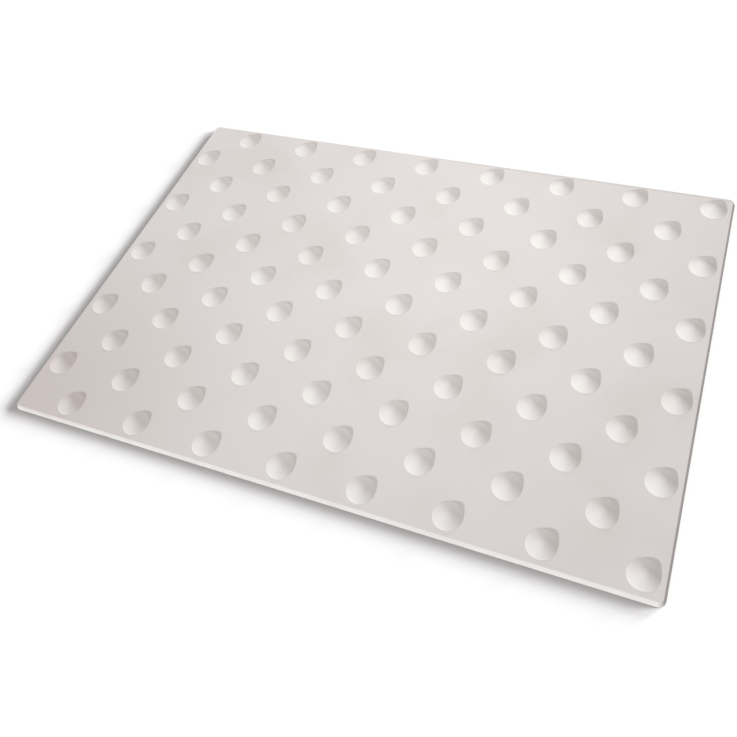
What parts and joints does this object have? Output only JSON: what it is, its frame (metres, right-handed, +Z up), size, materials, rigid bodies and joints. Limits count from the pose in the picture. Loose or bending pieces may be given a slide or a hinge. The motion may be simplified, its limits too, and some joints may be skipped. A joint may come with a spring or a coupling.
{
  "type": "tactile paving slab",
  "caption": "Thin rectangular slab with staggered rows of low round domes, laid on walking surfaces as a warning underfoot.",
  "frame": {"origin": "middle of the flat underside", "axes": "+Z up through the domes, +X along the long edge, +Y along the short edge; the first and last rows of domes start at the +X edge"},
  "size_m": [0.6, 0.4124, 0.01],
  "materials": {
    "slab": "moulded off-white polymer, satin matt"
  },
  "bodies": {
    "root": {"tactile_slab": "slab"}
  },
  "joints": []
}
